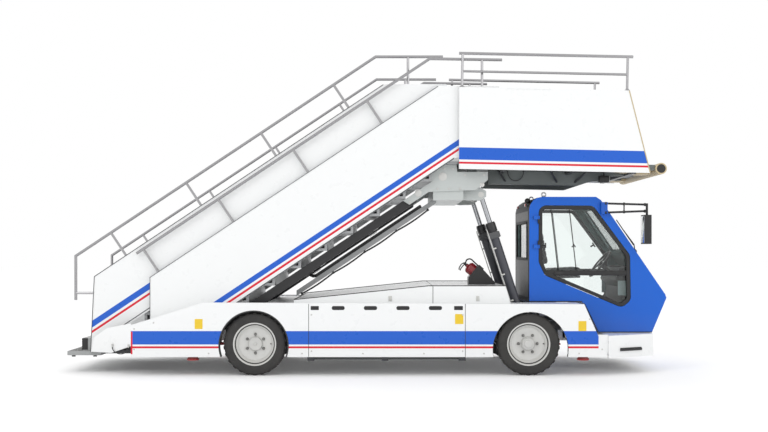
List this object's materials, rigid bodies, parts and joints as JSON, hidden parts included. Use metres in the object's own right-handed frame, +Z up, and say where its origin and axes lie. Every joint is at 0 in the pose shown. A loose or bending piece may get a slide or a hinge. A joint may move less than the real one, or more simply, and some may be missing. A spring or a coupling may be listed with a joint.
{
  "type": "self-propelled aircraft passenger stairs",
  "caption": "Self-propelled aircraft boarding stairs with telescopic flights, a levelling boarding platform, a low forward cab and a lift cylinder pair.",
  "frame": {"origin": "on the ground, midway along the length and across the width", "axes": "+X towards the cab's nose, +Y to the vehicle's left, +Z up"},
  "size_m": [6.98, 2.2, 3.6874],
  "materials": {
    "body_white": "gloss white paint",
    "cab_blue": "gloss blue paint",
    "frame_dark": "dark grey paint",
    "bracket_grey": "light grey paint",
    "black_coat": "satin black coating",
    "seat_vinyl": "black vinyl",
    "tyre": "black rubber",
    "rail_steel": "brushed tube",
    "rod_chrome": "hard chrome",
    "tread_plate": "chequered tread",
    "glazing": "clear safety glass",
    "extinguisher_red": "dark red gloss",
    "buffer_beige": "beige rubber"
  },
  "bodies": {
    "chassis": {"chassis_frame": "frame_dark", "rear_axle": "frame_dark", "front_axle": "frame_dark", "deck": "body_white", "engine_cover": "body_white", "engine_block": "frame_dark", "front_bumper": "body_white", "nose_carrier": "frame_dark", "rear_step": "bracket_grey", "side_cover_right": "body_white", "side_cover_left": "body_white", "rear_fairing_right": "body_white", "rear_fairing_left": "body_white", "cab_shell": "cab_blue", "windscreen": "glazing", "rear_window": "glazing", "seat": "seat_vinyl", "dashboard": "bracket_grey", "steering_wheel": "black_coat", "mirror": "black_coat", "extinguisher_holder": "black_coat", "fire_extinguisher": "extinguisher_red"},
    "knuckle_right": {"knuckle_right": "frame_dark"},
    "knuckle_left": {"knuckle_left": "frame_dark"},
    "wheel_front_right": {"wheel_front_right": "tyre"},
    "wheel_front_left": {"wheel_front_left": "tyre"},
    "wheel_rear_right": {"wheel_rear_right": "tyre"},
    "wheel_rear_left": {"wheel_rear_left": "tyre"},
    "stabiliser_rear_right": {"stabiliser_rear_right": "frame_dark"},
    "stabiliser_rear_left": {"stabiliser_rear_left": "frame_dark"},
    "stabiliser_front_right": {"stabiliser_front_right": "frame_dark"},
    "stabiliser_front_left": {"stabiliser_front_left": "frame_dark"},
    "lower_flight": {"lower_steps": "tread_plate", "lower_panel_right": "body_white", "lower_panel_left": "body_white", "lower_rail_right": "rail_steel", "lower_rail_left": "rail_steel"},
    "upper_flight": {"upper_steps": "tread_plate", "upper_panel_right": "body_white", "upper_panel_left": "body_white", "upper_rail_right": "rail_steel", "upper_rail_left": "rail_steel", "lift_bracket": "bracket_grey", "boom_beam_right": "black_coat", "boom_beam_left": "black_coat", "cable_tray": "bracket_grey"},
    "lift_barrels": {"lift_barrel_right": "frame_dark", "lift_barrel_left": "frame_dark"},
    "lift_rods": {"lift_rod_right": "rod_chrome", "lift_rod_left": "rod_chrome"},
    "platform": {"platform_floor": "frame_dark", "platform_panel_right": "body_white", "platform_panel_left": "body_white", "platform_rail_right": "rail_steel", "platform_rail_left": "rail_steel", "bumper_tube": "buffer_beige"},
    "door_right": {"door_right": "black_coat", "door_glass_right": "glazing"},
    "door_left": {"door_left": "black_coat", "door_glass_left": "glazing"}
  },
  "joints": [
    {"name": "stair_lift", "type": "hinge", "parent": "chassis", "child": "lower_flight", "pos_m": [-2.98, 0, 0.38], "axis": [0, -1, 0], "range_deg": [0, 7.4]},
    {"name": "stair_extend", "type": "slide", "parent": "lower_flight", "child": "upper_flight", "axis": [0.8329, 0, 0.5534], "range_m": [0, 0.9905]},
    {"name": "platform_level", "type": "hinge", "parent": "upper_flight", "child": "platform", "pos_m": [1.2, 0, 2.27], "axis": [0, 1, 0], "range_deg": [0, 7.41]},
    {"name": "lift_swing", "type": "hinge", "parent": "chassis", "child": "lift_barrels", "pos_m": [1.813, 0, 0.55], "axis": [0, 1, 0], "range_deg": [0, 18.08]},
    {"name": "lift_stroke", "type": "slide", "parent": "lift_barrels", "child": "lift_rods", "axis": [-0.3115, 0, 0.9502], "range_m": [0, 1.11]},
    {"name": "steer_right", "type": "hinge", "parent": "chassis", "child": "knuckle_right", "pos_m": [1.814, -0.845, 0.355], "axis": [0, 0, 1], "range_deg": [-30, 30]},
    {"name": "wheel_spin_front_right", "type": "hinge", "parent": "knuckle_right", "child": "wheel_front_right", "pos_m": [1.814, -0.99, 0.355], "axis": [0, 1, 0], "continuous": true},
    {"name": "wheel_spin_rear_right", "type": "hinge", "parent": "chassis", "child": "wheel_rear_right", "pos_m": [-1.283, -0.99, 0.355], "axis": [0, 1, 0], "continuous": true},
    {"name": "steer_left", "type": "hinge", "parent": "chassis", "child": "knuckle_left", "pos_m": [1.814, 0.845, 0.355], "axis": [0, 0, 1], "range_deg": [-30.1, 30.1]},
    {"name": "wheel_spin_front_left", "type": "hinge", "parent": "knuckle_left", "child": "wheel_front_left", "pos_m": [1.814, 0.99, 0.355], "axis": [0, 1, 0], "continuous": true},
    {"name": "wheel_spin_rear_left", "type": "hinge", "parent": "chassis", "child": "wheel_rear_left", "pos_m": [-1.283, 0.99, 0.355], "axis": [0, 1, 0], "continuous": true},
    {"name": "door_right_hinge", "type": "hinge", "parent": "chassis", "child": "door_right", "pos_m": [1.99, -0.656, 1.5], "axis": [0, 0, -1], "range_deg": [0, 85]},
    {"name": "door_left_hinge", "type": "hinge", "parent": "chassis", "child": "door_left", "pos_m": [1.99, 0.656, 1.5], "axis": [0, 0, 1], "range_deg": [0, 85]},
    {"name": "stabiliser_rear_right_drop", "type": "slide", "parent": "chassis", "child": "stabiliser_rear_right", "axis": [0, 0, -1], "range_m": [0, 0.16]},
    {"name": "stabiliser_rear_left_drop", "type": "slide", "parent": "chassis", "child": "stabiliser_rear_left", "axis": [0, 0, -1], "range_m": [0, 0.1605]},
    {"name": "stabiliser_front_right_drop", "type": "slide", "parent": "chassis", "child": "stabiliser_front_right", "axis": [0, 0, -1], "range_m": [0, 0.1605]},
    {"name": "stabiliser_front_left_drop", "type": "slide", "parent": "chassis", "child": "stabiliser_front_left", "axis": [0, 0, -1], "range_m": [0, 0.1605]}
  ],
  "couplings": [
    {"joint": "stair_extend", "follows": "stair_lift", "m_per_rad": 7.6652},
    {"joint": "platform_level", "follows": "stair_lift", "ratio": 1},
    {"joint": "lift_swing", "follows": "stair_lift", "ratio": 2.4411},
    {"joint": "lift_stroke", "follows": "stair_lift", "m_per_rad": 8.5871},
    {"joint": "steer_left", "follows": "steer_right", "ratio": 1},
    {"joint": "stabiliser_rear_left_drop", "follows": "stabiliser_rear_right_drop", "ratio": 1},
    {"joint": "stabiliser_front_right_drop", "follows": "stabiliser_rear_right_drop", "ratio": 1},
    {"joint": "stabiliser_front_left_drop", "follows": "stabiliser_rear_right_drop", "ratio": 1}
  ]
}
